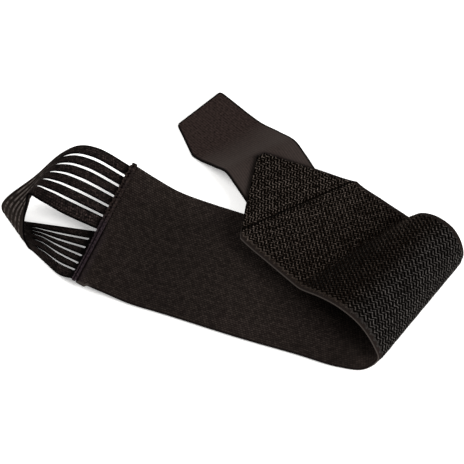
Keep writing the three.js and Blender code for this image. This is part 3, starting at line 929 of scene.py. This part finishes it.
def slat_place(slat):
    """The place function of one slat, at steps i along it and j round its section."""
    def place(i, j):
        length = slat_stops[i]
        from_root = np.minimum(length - UPPER_ROOT, loop_length - LOWER_ROOT - length)
        row = loop.row_at(length)
        slit = np.interp(row, np.arange(len(loop_rows)), loop_rows[:, 7]) / SLATS / 2
        slit = slit * np.where(from_root > 0, round_end(from_root, SLIT_ROUND), 0)
        crowd = np.interp(row, np.arange(len(loop_rows)), loop_rows[:, 8])
        span = loop.width(row)
        low = crowded(slat_edges[slat], crowd) + (slit if slat > 0 else 0) - 0.5
        high = crowded(slat_edges[slat + 1], crowd) - (slit if slat < SLATS - 1 else 0) - 0.5
        across, bulge, height = flat_oval(j, SLAT_FACE_CELLS, SLAT_EDGE_CELLS)
        radius = SLAT_CLOTH / 2
        w = span * (low + high) / 2 + across * (span * (high - low) / 2 - radius) + bulge * radius
        thick = round_end(np.minimum(length, loop_length - length), radius) * radius
        cup = SLAT_CUP * np.maximum(SLAT_FULL - span / SLATS, 0) * (1 - across**2)
        flat_w = SLAT_FULL * (slat + 0.5 + across / 2)
        pale = np.interp(row, WALL_ROWS, [0, 1, 1, 0])
        pale = np.where((slat == 0) & (across < -EDGE_BAND_FROM), 0, pale)
        edge_shade = np.where(np.abs(across) > EDGE_BAND_FROM, EDGE_SHADE_DARK * (1 - pale), 0)
        # painted shadow of the hem at the slats' roots, and painted shade along their edges
        root_and_edge_shade = np.maximum(np.exp(-((np.maximum(from_root, 0) / HEM_SHADOW_REACH) ** 2)), edge_shade)
        root_light = np.interp(row, ROOT_LIGHT_ROWS, [1, 0])
        where = loop.lift(length, w, height * thick + cup)
        return where, np.stack([length, flat_w], axis=-1), {"pale": pale, "root_and_edge_shade": root_and_edge_shade, "root_light": root_light}
    return place


# Slats: narrow ribs with paler flecks of yarn, brighter at the upper root under painted light, nearly black
# with painted shadow where they go under the hem and with painted shade along their edges
slat_cloth, tree, shader = matt_cloth("black_elastic_slats", "#231e1c", 0.8)
on_cloth = node(tree, "ShaderNodeUVMap", uv_map="cloth")
picks = node(tree, "ShaderNodeTexBrick", {
    "Vector": on_cloth.outputs["UV"],
    "Color1": linear("#261f1d"),
    "Color2": linear("#0f0c0b"),
    "Mortar": linear("#040303"),
    "Scale": 1 / MM,
    "Mortar Size": 0.2,
    "Mortar Smooth": 0.8,
    "Brick Width": SLAT_PICK,
    "Row Height": SLAT_RIB,
})
pale = node(tree, "ShaderNodeAttribute", attribute_name="pale")
fluff = node(tree, "ShaderNodeTexNoise", {
    "Vector": on_cloth.outputs["UV"],
    "Scale": 1 / (SLAT_FLUFF * MM),
    "Detail": 2.0,
})
# painted light on the upper root, brightening its flecks
root_light = node(tree, "ShaderNodeAttribute", attribute_name="root_light")
flecks = node(tree, "ShaderNodeMath", {0: root_light.outputs["Fac"], 1: UPPER_FLECKS, 2: FLECKS},
              operation="MULTIPLY_ADD")
shade = node(tree, "ShaderNodeMapRange", {
    "Value": fluff.outputs["Fac"],
    "From Min": 0.35,
    "From Max": 0.65,
    "To Min": 0.3,
    "To Max": flecks.outputs["Value"],
})
tinted = node(tree, "ShaderNodeVectorMath", {0: picks.outputs["Color"], 1: shade.outputs["Result"]},
              operation="MULTIPLY")
drawn = node(tree, "ShaderNodeMix", {
    "Factor": pale.outputs["Fac"],
    "A": tinted.outputs["Vector"],
    "B": linear("#241f1c"),
}, data_type="RGBA")
# painted shadow and shade, nearly black
root_and_edge_shade = node(tree, "ShaderNodeAttribute", attribute_name="root_and_edge_shade")
rooted = node(tree, "ShaderNodeMix", {
    "Factor": root_and_edge_shade.outputs["Fac"],
    "A": drawn.outputs["Result"],
    "B": linear("#030202"),
}, data_type="RGBA")
tree.links.new(rooted.outputs["Result"], shader.inputs["Base Color"])
relief = node(tree, "ShaderNodeBump", {
    "Height": picks.outputs["Fac"],
    "Strength": 0.8,
    "Distance": SLAT_RELIEF * MM,
}, invert=True)
tree.links.new(relief.outputs["Normal"], shader.inputs["Normal"])

# Cut edges of the slats: frayed ends of core yarn, which show as paler dots where the slats crowd on the
# outer wall
frayed, tree, shader = matt_cloth("frayed_core_yarn", "#4a423e", 0.9)
on_cloth = node(tree, "ShaderNodeUVMap", uv_map="cloth")
pale = node(tree, "ShaderNodeAttribute", attribute_name="pale")
ends = node(tree, "ShaderNodeTexNoise", {
    "Vector": on_cloth.outputs["UV"],
    "Scale": 1 / (FRAY * MM),
    "Detail": 1.0,
})
showing = node(tree, "ShaderNodeMapRange", {
    "Value": ends.outputs["Fac"],
    "From Min": 0.35,
    "From Max": 0.6,
    "To Min": 0.2,
    "To Max": 1.0,
})
bare = node(tree, "ShaderNodeMath", {0: pale.outputs["Fac"], 1: showing.outputs["Result"]},
            operation="MULTIPLY")
edge_colour = node(tree, "ShaderNodeMix", {
    "Factor": bare.outputs["Value"],
    "A": linear("#040303"),
    "B": linear("#5c5450"),
}, data_type="RGBA")
tree.links.new(edge_colour.outputs["Result"], shader.inputs["Base Color"])

slat_turn = SLAT_FACE_CELLS + SLAT_EDGE_CELLS
slats = add_piece(
    "thumb_loop_slats",
    cloth_mesh("thumb_loop_slats", len(slat_stops) - 1, 2 * slat_turn,
               [slat_place(slat) for slat in range(SLATS)],
               slots=[(1, SLAT_FACE_CELLS, slat_turn), (1, slat_turn + SLAT_FACE_CELLS, 2 * slat_turn)]),
    "slatted_elastic", slat_cloth, frayed,
)
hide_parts("thumb_loop")


# Stitching
# Polyester thread in short raised stitches: across the base of the point, over the upper half of the hem,
# and in small tacks at the tip of the point and at the hem's far nub.
THREAD = 0.2
STITCH_PITCH = 2.6
STITCH_SHARE = 0.72  # of the pitch, the rest being below the cloth
STITCH_MARGIN = 5.0  # from the band's edges
HEM_THREAD = 0.32
OVER_PITCH = 0.8  # of the stitches over the hem
OVER_SHARE = 0.9
OVER_START = 2.0  # from the middle of the seam
OVER_MARGIN = 1.0  # from the far edge
OVER_BACKS = (-0.5, 1.6)  # from the band's end: the stitches go from the band to the top of the hem
OVER_HEIGHT = 1.5
OVER_STRAY = 0.3  # how unevenly they are spaced
BACK_STRAY = 0.5  # and how unevenly they reach
TACK_THREAD = 0.35
TIP_STITCHES = 3
TIP_MARGIN = 1.0  # from the tip of the point
TIP_RISE = 0.2  # height of the tack above the ground of the pile
NUB_PLACE = 33.0  # across the band, where the tack at the nub takes its upright

# Ends of the tack at the nub: across the band, back from the band's end and up
NUB_TACK = np.array([(34.6, 3.4, 1.0), (32.4, 1.2, 1.9)])

# Thread: dull and nearly black, sunk in the pile
thread = matt_cloth("dark_polyester_thread", "#0d0b0a", 0.7)[0]


def sew(bm, places, ups, share, radius):
    """Adds a stitch over the first part of each step between places, standing on the cloth."""
    for start, end, up in zip(places[:-1], places[1:], ups):
        run = Vector((end - start) * share / 2)
        side = Vector(up).cross(run).normalized() * radius
        turn = Matrix((side, Vector(up) * radius, run)).transposed().to_4x4()
        middle = Vector(start - FOOTPRINT) + run
        bmesh.ops.create_uvsphere(bm, u_segments=8, v_segments=5, radius=1,
                                  matrix=Matrix.Scale(MM, 4) @ Matrix.Translation(middle) @ turn)


bm = bmesh.new()
count = int((BAND_WIDTH - 2 * STITCH_MARGIN) / STITCH_PITCH)
across = (np.arange(count + 1) - count / 2) * STITCH_PITCH
lengths = POINT_START + POINT_SEAM + POINT_SEAM_LEAN * across
ups = -wrap.normal(wrap.row_at(lengths), across)
sew(bm, wrap.lift(lengths, across, np.full_like(across, GROUND_FACE)), ups, STITCH_SHARE, THREAD)
stitch_mesh = bpy.data.meshes.new("stitches")
bm.to_mesh(stitch_mesh)
bm.free()
stitches = add_piece("stitches", stitch_mesh, "seam_binding", thread)

# Worn thread: the same thread where it is rubbed paler, over the hem's upper half and in the tacks
worn_thread = matt_cloth("worn_polyester_thread", "#231d1c", 0.8)[0]
bm = bmesh.new()
across = np.arange(OVER_START, BAND_WIDTH / 2 - OVER_MARGIN, OVER_PITCH)
across = across + chance.uniform(-OVER_STRAY, OVER_STRAY, len(across))
over = np.arange(len(across)) % 2
backs = np.array(OVER_BACKS)[over] + chance.uniform(-BACK_STRAY, BACK_STRAY, len(across))
places = seam_place(across, backs, np.where(over, OVER_HEIGHT, BAND_FACE))
sew(bm, places, wrap.normal(0 * across, across), OVER_SHARE, HEM_THREAD)
across = np.linspace(-POINT_BLUNT / 2, POINT_BLUNT / 2, TIP_STITCHES + 1)
lengths = np.full_like(across, POINT_END - TIP_MARGIN)
ups = -wrap.normal(wrap.row_at(lengths), across)
places = wrap.lift(lengths, across, np.full_like(across, GROUND_FACE - TIP_RISE))
sew(bm, places, ups, STITCH_SHARE, TACK_THREAD)
sew(bm, seam_place(*NUB_TACK.T), wrap.normal(np.zeros(1), np.array([NUB_PLACE])), 1, TACK_THREAD)
tack_mesh = bpy.data.meshes.new("tacks")
bm.to_mesh(tack_mesh)
bm.free()
tacks = add_piece("tacks", tack_mesh, "seam_binding", worn_thread)


# Studio
# A plain pale floor under soft white light from all round, with a low lamp at the near right and a weaker
# one at the far left.
FLOOR_HALF = 2.0  # in metres

floor_mesh = bpy.data.meshes.new("floor")
bm = bmesh.new()
bmesh.ops.create_grid(bm, x_segments=1, y_segments=1, size=FLOOR_HALF)
bm.to_mesh(floor_mesh)
bm.free()
floor = bpy.data.objects.new("floor", floor_mesh)
bpy.context.scene.collection.objects.link(floor)

# Paper: matt and nearly white, with a little light of its own, so that it burns out to white
paper, tree, shader = matt_cloth("white_paper", "#f4f3f1", 0.9)
floor_mesh.materials.append(paper)
shader.inputs["Emission Color"].default_value = linear("#ffffff")
shader.inputs["Emission Strength"].default_value = 0.3

world = bpy.data.worlds.new("white_tent")
world.use_nodes = True
world.node_tree.nodes["Background"].inputs["Color"].default_value = linear("#ffffff")
world.node_tree.nodes["Background"].inputs["Strength"].default_value = 0.35
bpy.context.scene.world = world

# Lamps: place in metres, disk size in metres and power in watts
LAMPS = {
    "key_lamp": ((0.68, -0.5, 0.5), 0.5, 12),
    "fill_lamp": ((-0.7, 0.35, 0.47), 0.6, 8.5),
}
for name, (place, size, power) in LAMPS.items():
    light = bpy.data.lights.new(name, "AREA")
    light.shape = "DISK"
    light.size = size
    light.energy = power
    lamp = bpy.data.objects.new(name, light)
    lamp.location = place
    lamp.rotation_euler = (-lamp.location).to_track_quat("-Z", "Y").to_euler()
    bpy.context.scene.collection.objects.link(lamp)

CAMERA_DISTANCE = 0.95
CAMERA_ANGLE = math.radians(51)  # above the surface
PHOTO_SIDE = 464
FOCAL = 1900  # in the photo's pixels
SENSOR = 36  # in millimetres
camera_data = bpy.data.cameras.new("camera")
camera_data.sensor_width = SENSOR
camera_data.lens = SENSOR * FOCAL / PHOTO_SIDE
camera = bpy.data.objects.new("camera", camera_data)
target = Vector(-FOOTPRINT * MM)
camera.location = target + CAMERA_DISTANCE * Vector((0, -math.cos(CAMERA_ANGLE), math.sin(CAMERA_ANGLE)))
camera.rotation_euler = (target - camera.location).to_track_quat("-Z", "Y").to_euler()
bpy.context.scene.collection.objects.link(camera)
bpy.context.scene.camera = camera
bpy.context.scene.view_settings.view_transform = "Standard"
